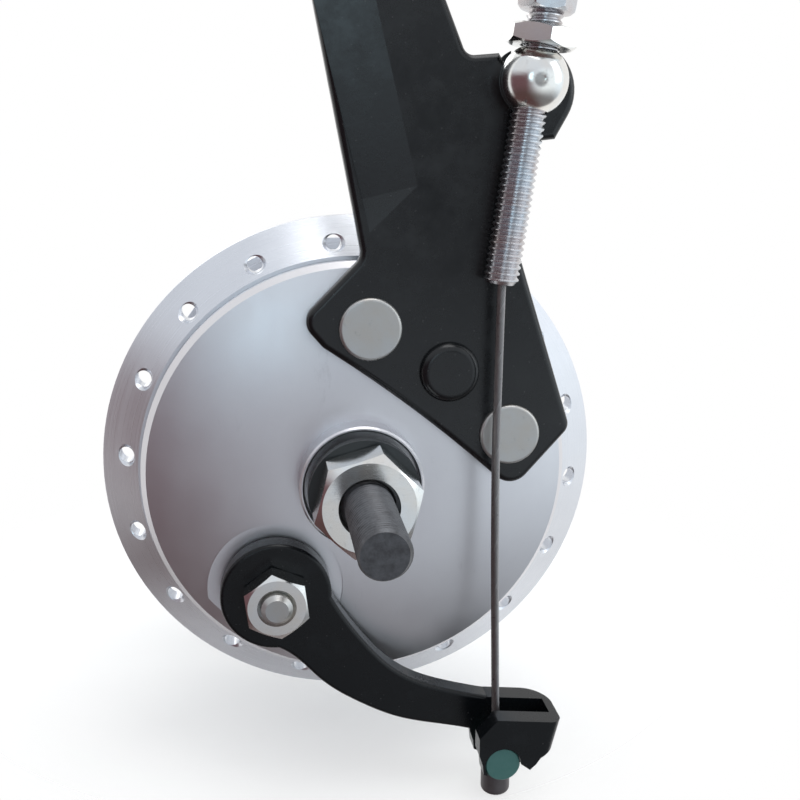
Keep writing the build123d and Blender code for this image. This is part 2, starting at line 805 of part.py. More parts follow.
def make_shoe_spring(place):
    """A tension spring across the two shoes; place is its distance from the axle towards the anchor."""
    wire_radius = spring_wire_dia / 2
    coil_radius = (spring_coil_dia - spring_wire_dia) / 2
    coil_length = spring_turns * spring_pitch
    helix = Helix(spring_pitch, coil_length, coil_radius, center=(0, 0, -coil_length / 2))
    start = helix @ 0
    section = Plane(origin=start, z_dir=helix % 0) * Circle(wire_radius)
    coil = sweep(section, path=helix, is_frenet=True)
    hook_y = (shoe_width + shoe_web_thickness) / 2 + shoe_front_y - spring_hook_stop - spring_y
    for end in (-1, 1):
        z_end = end * coil_length / 2
        spoke = Pos(coil_radius / 2, 0, z_end) * Rot(0, 90, 0) * Cylinder(wire_radius, coil_radius)
        leg_length = spring_anchor_reach - coil_length / 2
        leg = Pos(0, 0, z_end + end * leg_length / 2) * Cylinder(wire_radius, leg_length)
        hook = Pos(0, hook_y / 2, end * spring_anchor_reach) * Rot(90, 0, 0) * Cylinder(wire_radius, hook_y)
        coil += spoke
        coil += Pos(coil_radius, 0, z_end) * Sphere(wire_radius)
        coil += Pos(0, 0, z_end) * Sphere(wire_radius)
        coil += leg
        coil += Pos(0, 0, end * spring_anchor_reach) * Sphere(wire_radius)
        coil += hook
    across = Vector(-math.sin(math.radians(brake_line_angle)), 0, math.cos(math.radians(brake_line_angle)))
    towards = Vector(math.cos(math.radians(brake_line_angle)), 0, math.sin(math.radians(brake_line_angle)))
    centre = towards * place + Vector(0, spring_y, 0)
    return Plane(origin=centre, x_dir=towards, z_dir=across) * coil


# Lever


def make_cam_spindle():
    inward = (Align.CENTER, Align.MIN, Align.CENTER)
    outward = (Align.CENTER, Align.MAX, Align.CENTER)
    cam = Box(2 * cam_half_length, shoe_width, 2 * cam_half_thickness, align=inward)
    cam = fillet(cam.edges().filter_by(Axis.Y), cam_edge_round)
    cam = Pos(cam_x, shoe_front_y, cam_z) * Rot(0, -brake_line_angle, 0) * cam
    shaft = rod(cam_shaft_dia, lever_back_y, shoe_front_y, cam_x, cam_z)
    square = Box(cam_square, lever_thickness - cam_square_short, cam_square, align=outward)
    square = Pos(cam_x, lever_back_y, cam_z) * Rot(0, -brake_line_angle, 0) * square
    tip_y = lever_front_y - cam_nut_height - cam_tip_stand
    stud = rod(cam_thread_dia, tip_y, lever_back_y, cam_x, cam_z)
    stud = chamfer(stud.faces().sort_by(Axis.Y)[0].edges(), cam_tip_chamfer)
    return cam + shaft + square + stud


def make_cam_washer():
    back_y = lever_back_y + cam_washer_thickness
    return tube(cam_washer_dia, cam_shaft_dia + 2 * cam_fit, lever_back_y, back_y, cam_x, cam_z)


def make_cam_nut():
    bore = cam_thread_dia + 2 * thread_fit
    nut = hexagon_nut(cam_nut_flats, cam_nut_height, bore, bore + cam_nut_mouth_step, cam_nut_corner_angle)
    seat = Plane(origin=(cam_x, lever_front_y, cam_z), x_dir=(1, 0, 0), z_dir=(0, -1, 0))
    return seat * nut


def fork_outline():
    """The fork's side seen from the brake side, hooked round the seat of the cross barrel."""
    seat_radius = cross_barrel_dia / 2 + cross_barrel_fit
    top_z = cable_end_z + fork_height
    right_drop = 6.0
    right_foot_x = fork_right_x - right_drop * math.tan(math.radians(fork_right_lean))
    hook = math.radians(fork_hook_angle)
    seat_left = (cable_end_x - seat_radius * math.cos(hook), cable_end_z - seat_radius * math.sin(hook))
    seat_top = (cable_end_x, cable_end_z + seat_radius)
    seat_right = (cable_end_x + seat_radius, cable_end_z)
    outside = Polyline(
        seat_right,
        (cable_end_x + 5.4, cable_end_z - 1.4),
        (cable_end_x + 6.6, cable_end_z - 0.3),
        (cable_end_x + 7.5, cable_end_z + 1.0),
        (right_foot_x, top_z - right_drop),
        (fork_right_x, top_z),
        (cable_end_x - 1.3, cable_end_z + 9.9),
        (cable_end_x - 4.8, cable_end_z + 6.1),
        (cable_end_x - 4.8, cable_end_z + 2.6),
        (cable_end_x - 4.1, cable_end_z + 0.4),
        (cable_end_x - 3.9, cable_end_z - 1.6),
        seat_left,
    )
    seat = ThreePointArc(seat_left, seat_top, seat_right)
    return [outside, seat]


def lever_blade_outline():
    upper = Spline(
        (cam_x + 8.6, cam_z + 4.0),
        (-4.9, -24.1),
        (-0.3, -31.0),
        (6.6, -38.4),
        (11.9, -41.5),
        (18.4, -43.8),
        (25.6, -45.7),
        (34.0, -46.8),
    )
    right = Polyline((34.0, -46.8), (34.0, -51.6), (21.6, -52.6))
    lower = Spline(
        (21.6, -52.6),
        (17.6, -51.5),
        (6.9, -48.7),
        (-0.9, -44.8),
        (-8.5, -39.2),
        (-13.4, -34.0),
        (cam_x - 0.4, cam_z - lever_end_radius + 0.3),
    )
    inside = Line(lower @ 1, upper @ 0)
    return [upper, right, lower, inside]


def make_brake_lever():
    lever = slab(lever_blade_outline(), lever_back_y, lever_thickness)
    lever += rod(2 * lever_end_radius, lever_front_y, lever_back_y, cam_x, cam_z)
    front_edges = lever.faces().sort_by(Axis.Y)[0].edges()
    lever = fillet(front_edges, lever_edge_round)
    fork = slab(fork_outline(), lever_back_y, lever_back_y - fork_front_y)
    right_face = fork.faces().sort_by(Axis.X)[-1]
    fork = fillet(right_face.edges().sort_by(Axis.Y)[-1], fork_rear_round)
    right_face = fork.faces().filter_by(GeomType.PLANE).sort_by(Axis.X)[-1]
    fork = fillet(right_face.edges().sort_by(Axis.Y)[0], fork_front_round)
    slot_length = 3 * cross_barrel_dia
    slot = Box(slot_length, fork_slot_width, 40, align=(Align.MAX, Align.CENTER, Align.CENTER))
    slot_end = (fork_right_x - fork_web, cable_y, cable_end_z + fork_height)
    fork -= Pos(*slot_end) * Rot(0, fork_right_lean, 0) * slot
    lever += fork
    seat_radius = cross_barrel_dia / 2 + cross_barrel_fit
    lever -= rod(2 * seat_radius, fork_front_y - 1, lever_back_y + 1, cable_end_x, cable_end_z)
    hole_size = cam_square + 2 * cam_square_fit
    hole = Box(hole_size, 4 * lever_thickness, hole_size)
    lever -= Pos(cam_x, lever_front_y, cam_z) * Rot(0, -brake_line_angle, 0) * hole
    return lever


# Cable end and adjuster


def make_cable_end():
    front_y = fork_front_y + cross_barrel_inset
    back_y = lever_back_y - cross_barrel_inset
    barrel = rod(cross_barrel_dia, front_y, back_y, cable_end_x, cable_end_z)
    barrel = chamfer(barrel.edges().filter_by(GeomType.CIRCLE), cross_barrel_chamfer)
    stem_length = cable_end_z - stem_bottom_z
    neck_dia = fork_slot_width - 2 * stem_neck_gap
    neck = Pos(0, 0, -stem_length) * upright(neck_dia, stem_length)
    stem = Pos(0, 0, -stem_length) * upright(stem_dia, stem_length - stem_neck_length)
    stem = fillet(stem.faces().sort_by(Axis.Z)[0].edges(), stem_end_round)
    neck -= Pos(0, 0, -stem_length) * upright(2 * stem_dia, stem_length - stem_neck_length)
    fitting = barrel + Pos(cable_end_x, cable_y, cable_end_z) * (neck + stem)
    bore = Cylinder(wire_dia / 2 + wire_hole_fit, 4 * stem_length)
    return fitting - Pos(cable_end_x, cable_y, cable_end_z) * Rot(0, wire_end_lean(), 0) * bore


def adjuster_plane(distance):
    """A plane square to the adjuster, this far up it from the trunnion's axis; local Z runs up it."""
    lean = math.radians(adjuster_lean)
    upward = Vector(math.sin(lean), 0, math.cos(lean))
    centre = Vector(trunnion_x, cable_y, trunnion_z) + upward * distance
    return Plane(origin=centre, x_dir=(math.cos(lean), 0, -math.sin(lean)), z_dir=upward)


def make_trunnion():
    head_back = arm_front_y - trunnion_arm_gap
    straight_start = head_back - trunnion_shoulder
    dome_start = straight_start - trunnion_straight
    dome_top = dome_start - trunnion_dome
    head_radius = trunnion_head_dia / 2
    shank_radius = trunnion_shank_dia / 2
    half_turn = math.cos(math.radians(45))
    shoulder_middle = (
        shank_radius + (head_radius - shank_radius) * half_turn,
        straight_start + trunnion_shoulder * half_turn,
    )
    profile = [
        Polyline((0, dome_top), (0, head_back), (shank_radius, head_back)),
        ThreePointArc((shank_radius, head_back), shoulder_middle, (head_radius, straight_start)),
        Line((head_radius, straight_start), (head_radius, dome_start)),
        ThreePointArc(
            (head_radius, dome_start),
            (head_radius * half_turn, dome_start - trunnion_dome * half_turn),
            (0, dome_top),
        ),
    ]
    head = Pos(trunnion_x, 0, trunnion_z) * revolve(make_face(profile), axis=Axis.Y)
    clip_start = arm_back_y + clip_gap
    clip_end = clip_start + clip_thickness
    shank = rod(trunnion_shank_dia, head_back, clip_end + clip_thickness, trunnion_x, trunnion_z)
    trunnion = head + shank
    groove_dia = trunnion_shank_dia - 2 * clip_groove_depth
    trunnion -= tube(2 * trunnion_shank_dia, groove_dia, clip_start, clip_end, trunnion_x, trunnion_z)
    dimple_end = dome_top + trunnion_dimple_depth
    trunnion -= rod(trunnion_dimple_dia, dome_top - 1, dimple_end, trunnion_x, trunnion_z)
    return trunnion - adjuster_plane(0) * Cylinder(adjuster_dia / 2 + thread_fit, 4 * trunnion_head_dia)


def make_trunnion_clip():
    start = arm_back_y + clip_gap
    groove_dia = trunnion_shank_dia - 2 * clip_groove_depth
    clip = tube(clip_dia, groove_dia, start, start + clip_thickness, trunnion_x, trunnion_z)
    upward = (Align.CENTER, Align.CENTER, Align.MIN)
    mouth = Box(clip_mouth, 4 * clip_thickness, clip_dia, align=upward)
    return clip - Pos(trunnion_x, start, trunnion_z) * mouth


def make_adjuster_nut():
    bore = adjuster_dia + 2 * thread_fit
    mouth = bore + adjuster_nut_mouth_step
    nut = hexagon_nut(adjuster_nut_flats, adjuster_nut_height, bore, mouth, adjuster_nut_corner_angle)
    return adjuster_plane(adjuster_nut_seat) * nut


def make_adjuster_barrel():
    stem_length = adjuster_tail + adjuster_head_start
    stem = upright(adjuster_dia, stem_length)
    stem = chamfer(stem.faces().sort_by(Axis.Z)[0].edges(), adjuster_tip_chamfer)
    barrel = adjuster_plane(-adjuster_tail) * stem
    corner_radius = adjuster_head_flats / math.sqrt(3)
    prism = RegularPolygon(corner_radius, 6, rotation=adjuster_head_corner_angle)
    head = extrude(prism, amount=adjuster_head_length)
    envelope = upright(2 * corner_radius, adjuster_head_length)
    envelope = chamfer(envelope.faces().sort_by(Axis.Z)[0].edges(), adjuster_head_chamfer)
    envelope = chamfer(envelope.faces().sort_by(Axis.Z)[-1].edges(), adjuster_head_chamfer / 2)
    head = (head & envelope) - Cylinder(casing_socket_dia / 2, 3 * adjuster_head_length)
    plug_length = adjuster_head_length - casing_socket_depth
    bore_radius = adjuster_bore_dia / 2
    socket_radius = casing_socket_dia / 2
    point_length = (socket_radius - bore_radius) / math.tan(math.radians(drill_point_angle / 2))
    plug = upright(casing_socket_dia + 1, plug_length + point_length)
    plug -= Pos(0, 0, plug_length + point_length / 2) * Cone(bore_radius, socket_radius, point_length)
    barrel += adjuster_plane(adjuster_head_start) * (head + plug)
    whole = stem_length + adjuster_head_length
    bore = Cylinder(bore_radius, 3 * whole)
    return barrel - adjuster_plane(0) * bore


# Inner wire


def adjuster_point(distance):
    return adjuster_plane(distance).origin


def wire_points():
    socket_floor = adjuster_head_start + adjuster_head_length - casing_socket_depth
    top = adjuster_point(socket_floor - wire_top_below_socket)
    entry = adjuster_point(wire_entry_depth - adjuster_tail)
    bow = Vector(wire_bow_x, cable_y, wire_bow_z)
    end = Vector(cable_end_x, cable_y, cable_end_z)
    return [top, entry, bow, end]


def wire_end_lean():
    """How far the wire leans where it enters the cable end, in degrees about Y."""
    last = wire_points()[-1] - wire_points()[-2]
    return math.degrees(math.atan2(last.X, last.Z)) - 180


def make_inner_wire():
    points = wire_points()
    upper_run = (points[2] - points[1]).length
    turn = (points[2] - points[1]).get_angle(points[3] - points[2])
    bow_radius = 0.45 * upper_run / math.tan(math.radians(turn / 2))
    route = FilletPolyline(*points, radius=[wire_bend_radius, bow_radius])
    print(f"inner wire bends: {wire_bend_radius:.1f} and {bow_radius:.1f} mm, length {route.length:.1f} mm")
    section = Plane(origin=route @ 0, z_dir=route % 0) * Circle(wire_dia / 2)
    return sweep(section, path=route)


pieces = {
    "axle": make_axle,
    "brake_plate": make_brake_plate,
    "reaction_arm": make_reaction_arm,
    "arm_rivets": make_arm_rivets,
    "anchor_pin": make_anchor_pin,
    "cam_bush": make_cam_bush,
    "plate_washer": make_plate_washer,
    "plate_spacer": make_plate_spacer,
    "brake_side_locknut": lambda: make_locknut(brake_locknut_face_y, -1),
    "axle_sleeve": make_axle_sleeve,
    "brake_side_cone": make_brake_side_cone,
    "far_side_cone": make_far_side_cone,
    "far_side_washer": make_far_washer,
    "far_side_locknut": lambda: make_locknut(far_locknut_face_y, 1),
    "hub_shell": make_hub_shell,
    "drum_liner": make_drum_liner,
    "brake_side_cup": lambda: make_cup(brake_ball_y, -1),
    "far_side_cup": lambda: make_cup(far_ball_y, 1),
    "brake_side_dust_cap": lambda: make_dust_cap(brake_ball_y, -1),
    "far_side_dust_cap": lambda: make_dust_cap(far_ball_y, 1),
    "brake_side_ball_ring": lambda: make_balls(brake_ball_y),
    "far_side_ball_ring": lambda: make_balls(far_ball_y),
    "brake_side_retainer": lambda: make_retainer(brake_ball_y, -1),
    "far_side_retainer": lambda: make_retainer(far_ball_y, 1),
    "cam_spindle": make_cam_spindle,
    "cam_washer": make_cam_washer,
    "brake_lever": make_brake_lever,
    "cam_nut": make_cam_nut,
    "leading_shoe": lambda: make_shoe(1),
    "leading_lining": lambda: make_lining(1),
    "trailing_shoe": lambda: make_shoe(-1),
    "trailing_lining": lambda: make_lining(-1),
    "anchor_end_spring": lambda: make_shoe_spring(spring_offset),
    "cam_end_spring": lambda: make_shoe_spring(-spring_offset),
    "adjuster_trunnion": make_trunnion,
    "trunnion_clip": make_trunnion_clip,
    "adjuster_barrel": make_adjuster_barrel,
    "adjuster_locknut": make_adjuster_nut,
    "cable_end": make_cable_end,
    "inner_wire": make_inner_wire,
}

os.makedirs("parts", exist_ok=True)
for name, make in pieces.items():
    export_step(make(), f"parts/{name}.step")
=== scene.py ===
import json
import math

import bpy
from mathutils import Matrix, Vector


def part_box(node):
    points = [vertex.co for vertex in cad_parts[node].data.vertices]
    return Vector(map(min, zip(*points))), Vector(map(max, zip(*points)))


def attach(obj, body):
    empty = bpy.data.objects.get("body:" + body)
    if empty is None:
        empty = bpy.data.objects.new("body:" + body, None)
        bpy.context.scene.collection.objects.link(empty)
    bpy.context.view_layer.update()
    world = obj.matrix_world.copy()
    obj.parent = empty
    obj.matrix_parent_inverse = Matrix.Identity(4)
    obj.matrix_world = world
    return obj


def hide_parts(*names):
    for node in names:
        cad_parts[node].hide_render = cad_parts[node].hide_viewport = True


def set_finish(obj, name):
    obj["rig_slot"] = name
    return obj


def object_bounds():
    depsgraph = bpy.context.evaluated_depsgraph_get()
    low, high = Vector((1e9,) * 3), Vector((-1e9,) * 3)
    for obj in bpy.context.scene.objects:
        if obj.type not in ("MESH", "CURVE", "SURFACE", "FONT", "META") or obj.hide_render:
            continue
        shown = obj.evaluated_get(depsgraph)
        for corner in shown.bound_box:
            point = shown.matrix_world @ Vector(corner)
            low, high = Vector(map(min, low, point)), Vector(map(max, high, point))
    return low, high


# Looks of the drum brake front hub. Sizes are metres in the frame of the CAD model: +Y runs along the
# axle away from the brake plate, +Z is up and +X is to the right seen from the brake plate.
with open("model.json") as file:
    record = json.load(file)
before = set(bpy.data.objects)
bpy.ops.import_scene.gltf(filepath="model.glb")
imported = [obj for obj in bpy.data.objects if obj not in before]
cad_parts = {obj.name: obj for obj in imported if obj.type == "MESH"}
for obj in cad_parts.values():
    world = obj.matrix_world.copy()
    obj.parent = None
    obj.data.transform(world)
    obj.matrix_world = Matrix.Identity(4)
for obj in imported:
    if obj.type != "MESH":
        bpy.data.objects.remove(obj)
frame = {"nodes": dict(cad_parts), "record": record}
cad_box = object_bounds()
millimetre = 0.001

# A thread's outline, in pitches along the rod: its crest, the end of its falling flank and its root
thread_crest_start = 0.40
thread_crest_end = 0.58
thread_flank_end = 0.92
thread_root_width = 0.08
thread_cut = 1.507
thread_sides = 40
thread_smooth_angle = 25

# Axle thread
axle_radius = 4.5 * millimetre
axle_thread_pitch = 0.98 * millimetre
axle_thread_depth = 0.36 * millimetre
axle_end_chamfer = 0.5 * millimetre

# Cable adjuster
trunnion_centre = Vector((30.1, -16.0, 73.0)) * millimetre
adjuster_lean = math.radians(8.43)
adjuster_radius = 3.15 * millimetre
adjuster_thread_pitch = 1.1 * millimetre
adjuster_thread_depth = 0.42 * millimetre
adjuster_tail = 35.3 * millimetre
adjuster_tip_chamfer = 0.6 * millimetre
adjuster_bore_radius = 1.4 * millimetre
adjuster_head_start = 11.2 * millimetre
adjuster_head_length = 11.0 * millimetre
adjuster_head_flats = 8.7 * millimetre
adjuster_head_turn = math.radians(52.0)
adjuster_head_chamfer = 1.4 * millimetre
head_rounding_sides = 64
drill_sides = 48
drill_overrun = millimetre
casing_socket_radius = 2.6 * millimetre
casing_socket_depth = 8.0 * millimetre
socket_drill_point = 0.72 * millimetre

# Inner wire and cable end
wire_radius = 0.8 * millimetre
wire_outer_strands = 12
wire_strand_lay = 9.0 * millimetre
wire_rings = 170
wire_bow = Vector((24.65, -16.0, -5.0)) * millimetre
wire_end = Vector((26.2, -16.0, -55.4)) * millimetre
wire_entry_depth = 2.0 * millimetre
wire_below_socket = 0.3 * millimetre
wire_straight = 9.6 * millimetre
strand_sides = 8
core_sides = 12
cable_barrel_drop = 3.7 * millimetre

# Shoe springs
brake_line_angle = math.radians(52.0)
spring_wire_radius = 0.5 * millimetre
spring_coil_radius = 2.0 * millimetre
spring_turns = 12
spring_pitch = 1.45 * millimetre
spring_offset = 16.0 * millimetre
spring_reach = 19.4 * millimetre
spring_y = 4.2 * millimetre
spring_hook_depth = 7.8 * millimetre
spring_bend = 0.8 * millimetre
spring_lead = 2.0 * millimetre
spring_wire_sides = 10
spring_coil_steps = 24
wound_smooth_angle = 60

# Camera and floor
camera_place = Vector((-18.70, -192.20, 59.73)) * millimetre
camera_turn = math.radians(-8.216)
camera_drop = math.radians(13.439)
camera_lens = 45.29
floor_gap = 0.3 * millimetre
floor_reach = 0.14
floor_middle = 0.08
floor_fade_start = 0.3 * floor_reach
floor_fade_end = 0.95 * floor_reach
floor_sides = 96


# Tools for shaping a piece


def let_go():
    if bpy.context.object and bpy.context.object.mode != "OBJECT":
        bpy.ops.object.mode_set(mode="OBJECT")
    bpy.ops.object.select_all(action="DESELECT")


def pick_up(piece):
    let_go()
    piece.select_set(True)
    bpy.context.view_layer.objects.active = piece


def newest(name):
    piece = bpy.context.object
    piece.name = name
    piece.data.name = name
    return piece


def edit(piece, mode):
    """Opens a piece in edit mode with nothing selected."""
    pick_up(piece)
    bpy.ops.object.mode_set(mode="EDIT")
    bpy.ops.mesh.select_mode(type=mode)
    bpy.ops.mesh.select_all(action="DESELECT")


def mark(piece, parts, wanted):
    """Selects the vertices, edges or faces that pass the test, and returns to edit mode."""
    bpy.ops.mesh.select_all(action="DESELECT")
    bpy.ops.object.mode_set(mode="OBJECT")
    for part in getattr(piece.data, parts):
        part.select = wanted(part)
    bpy.ops.object.mode_set(mode="EDIT")


def apply_newest_modifier(piece):
    bpy.ops.object.modifier_apply(modifier=piece.modifiers[-1].name)


def cut(piece, cutter, how="DIFFERENCE"):
    pick_up(piece)
    bpy.ops.object.modifier_add(type="BOOLEAN")
    boolean = piece.modifiers[-1]
    boolean.operation = how
    boolean.solver = "EXACT"
    boolean.object = cutter
    apply_newest_modifier(piece)
    bpy.data.objects.remove(cutter)


def settle(piece, place, turn):
    """Stands a piece that was shaped along +Z in its place, and writes that place into its mesh."""
    pick_up(piece)
    piece.matrix_world = Matrix.Translation(place) @ turn.to_4x4()
    bpy.ops.object.transform_apply(location=True, rotation=True, scale=True)


def smooth(piece, degrees):
    pick_up(piece)
    bpy.ops.object.shade_smooth_by_angle(angle=math.radians(degrees))


def face_outwards(piece):
    edit(piece, "FACE")
    bpy.ops.mesh.select_all(action="SELECT")
    bpy.ops.mesh.remove_doubles(threshold=0.0005 * millimetre)
    bpy.ops.mesh.normals_make_consistent(inside=False)
    bpy.ops.object.mode_set(mode="OBJECT")


# Threaded steel


def thread_profile(name, radius, depth, pitch):
    """One pitch of a thread's outline: a flank, the crest, the other flank and the root."""
    root = radius - depth
    let_go()
    bpy.ops.mesh.primitive_circle_add(vertices=4, radius=radius)
    profile = newest(name)
    outline = [
        (root, 0.0),
        (radius, thread_crest_start),
        (radius, thread_crest_end),
        (root, thread_flank_end),
    ]
    for corner, (out, rise) in zip(profile.data.vertices, outline):
        corner.co = (out, 0, rise * pitch)
    corners = profile.data.vertices
    edit(profile, "EDGE")
    mark(profile, "edges", lambda edge: all(corners[i].co.x < radius - depth / 2 for i in edge.vertices))
    bpy.ops.mesh.delete(type="EDGE")
    bpy.ops.mesh.select_mode(type="VERT")
    mark(profile, "vertices", lambda corner: corner.co.z > thread_crest_end * pitch * 1.01)
    bpy.ops.mesh.extrude_region_move(TRANSFORM_OT_translate={"value": (0, 0, thread_root_width * pitch)})
    bpy.ops.object.mode_set(mode="OBJECT")
    return profile


def trim_end(rod, height, towards):
    bpy.ops.mesh.select_all(action="SELECT")
    bpy.ops.mesh.bisect(
        plane_co=(0, 0, height),
        plane_no=(0, 0, towards),
        use_fill=True,
        clear_outer=True,
        threshold=0.0001 * millimetre,
    )


def threaded_rod(name, radius, depth, pitch, length, chamfer):
    """A rod from the origin up +Z with a true helical thread and a chamfer at each end."""
    rod = thread_profile(name, radius, depth, pitch)
    turns = math.ceil(length / pitch) + 3
    bpy.ops.object.modifier_add(type="SCREW")
    screw = rod.modifiers[-1]
    screw.screw_offset = pitch
    screw.iterations = turns
    screw.steps = screw.render_steps = thread_sides
    apply_newest_modifier(rod)
    edit(rod, "FACE")
    bpy.ops.mesh.select_all(action="SELECT")
    bpy.ops.mesh.remove_doubles(threshold=0.002 * pitch)
    start = thread_cut * pitch
    trim_end(rod, start + chamfer, -1)
    trim_end(rod, start + length - chamfer, 1)
    taper = (radius - depth) / radius
    for height, way in ((start + chamfer, -1), (start + length - chamfer, 1)):
        mark(
            rod,
            "polygons",
            lambda face: face.normal.z * way > 0.9 and abs(face.center.z - height) < 0.1 * chamfer,
        )
        bpy.ops.mesh.extrude_region_move(TRANSFORM_OT_translate={"value": (0, 0, way * chamfer)})
        bpy.ops.transform.resize(value=(taper, taper, 1), center_override=(0, 0, height + way * chamfer))
    bpy.ops.mesh.select_all(action="SELECT")
    bpy.ops.transform.translate(value=(0, 0, -start))
    bpy.ops.mesh.normals_make_consistent(inside=False)
    bpy.ops.object.mode_set(mode="OBJECT")
    return rod


def make_threaded_axle():
    low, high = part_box("axle")
    length = high.y - low.y
    axle = threaded_rod(
        "threaded_axle", axle_radius, axle_thread_depth, axle_thread_pitch, length, axle_end_chamfer
    )
    along_the_axle = Matrix.Rotation(math.radians(-90), 3, "X")
    settle(axle, Vector((0, low.y, 0)), along_the_axle)
    smooth(axle, thread_smooth_angle)
    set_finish(axle, "axle_steel")
    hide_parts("axle")
    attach(axle, "frame_side")
    return axle


def adjuster_point(height):
    lean = Vector((math.sin(adjuster_lean), 0, math.cos(adjuster_lean)))
    return trunnion_centre + lean * height


def make_adjuster_head():
    """The hexagon head with its rounded corners, shaped up +Z from the trunnion's centre."""
    corner_radius = adjuster_head_flats / math.sqrt(3)
    middle = adjuster_head_start + adjuster_head_length / 2
    let_go()
    bpy.ops.mesh.primitive_cylinder_add(
        vertices=6, radius=corner_radius, depth=adjuster_head_length, location=(0, 0, middle)
    )
    head = newest("adjuster_head")
    bpy.ops.object.transform_apply(location=True, rotation=True, scale=True)
    pick_up(head)
    head.rotation_euler = (0, 0, adjuster_head_turn - math.radians(30))
    bpy.ops.object.transform_apply(location=False, rotation=True, scale=False)
    let_go()
    bpy.ops.mesh.primitive_cylinder_add(
        vertices=head_rounding_sides,
        radius=corner_radius * 1.001,
        depth=adjuster_head_length,
        location=(0, 0, middle),
    )
    rounding = newest("head_rounding")
    bpy.ops.object.transform_apply(location=True, rotation=True, scale=True)
    edit(rounding, "FACE")
    for side, chamfer in ((-1, adjuster_head_chamfer), (1, adjuster_head_chamfer / 2)):
        mark(rounding, "polygons", lambda face: face.normal.z * side > 0.9)
        bpy.ops.mesh.bevel(offset=chamfer, segments=3, profile=0.6, affect="EDGES")
    bpy.ops.object.mode_set(mode="OBJECT")
    cut(head, rounding, "INTERSECT")
    return head


def make_drill(radius, low, high):
    let_go()
    bpy.ops.mesh.primitive_cylinder_add(
        vertices=drill_sides, radius=radius, depth=high - low, location=(0, 0, (low + high) / 2)
    )
    drill = newest("drill")
    bpy.ops.object.transform_apply(location=True, rotation=True, scale=True)
    return drill


def make_socket_drill(low, high):
    """The drill of the casing socket, its point running down into the bore."""
    drill = make_drill(casing_socket_radius, low, high)
    edit(drill, "FACE")
    mark(drill, "polygons", lambda face: face.normal.z < -0.9)
    bpy.ops.mesh.extrude_region_move(TRANSFORM_OT_translate={"value": (0, 0, -socket_drill_point)})
    taper = adjuster_bore_radius / casing_socket_radius
    point = (0, 0, low - socket_drill_point)
    bpy.ops.transform.resize(value=(taper, taper, 1), center_override=point)
    bpy.ops.object.mode_set(mode="OBJECT")
    return drill


def make_threaded_barrel():
    stem_length = adjuster_tail + adjuster_head_start + millimetre
    barrel = threaded_rod(
        "threaded_barrel",
        adjuster_radius,
        adjuster_thread_depth,
        adjuster_thread_pitch,
        stem_length,
        adjuster_tip_chamfer,
    )
    settle(barrel, Vector((0, 0, -adjuster_tail)), Matrix.Identity(3))
    cut(barrel, make_adjuster_head(), "UNION")
    head_top = adjuster_head_start + adjuster_head_length
    drill_top = head_top + drill_overrun
    socket_floor = head_top - casing_socket_depth + socket_drill_point
    cut(barrel, make_drill(adjuster_bore_radius, -adjuster_tail - drill_overrun, drill_top))
    cut(barrel, make_socket_drill(socket_floor, drill_top))
    face_outwards(barrel)
    settle(barrel, trunnion_centre, Matrix.Rotation(adjuster_lean, 3, "Y"))
    smooth(barrel, thread_smooth_angle)
    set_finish(barrel, "threaded_steel")
    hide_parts("adjuster_barrel")
    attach(barrel, "adjuster_barrel")
    return barrel


# Inner wire: twelve strands laid round a core, bent along its route


def make_wire_route():
    top = adjuster_head_start + adjuster_head_length - casing_socket_depth - wire_below_socket
    entry = adjuster_point(wire_entry_depth - adjuster_tail)
    points = [
        adjuster_point(top),
        adjuster_point(wire_entry_depth - adjuster_tail + wire_straight),
        entry,
        entry + (wire_bow - entry).normalized() * wire_straight,
        wire_bow,
        wire_end,
    ]
    curve = bpy.data.curves.new("wire_route", "CURVE")
    curve.dimensions = "3D"
    curve.resolution_u = 24
    spline = curve.splines.new("NURBS")
    spline.points.add(len(points) - 1)
    for control, point in zip(spline.points, points):
        control.co = (*point, 1)
    spline.order_u = 3
    spline.use_endpoint_u = True
    route = bpy.data.objects.new("wire_route", curve)
    bpy.context.scene.collection.objects.link(route)
    line = bpy.data.meshes.new_from_object(route)
    path = [tuple(vertex.co) for vertex in line.vertices]
    bpy.data.meshes.remove(line)
    return route, path


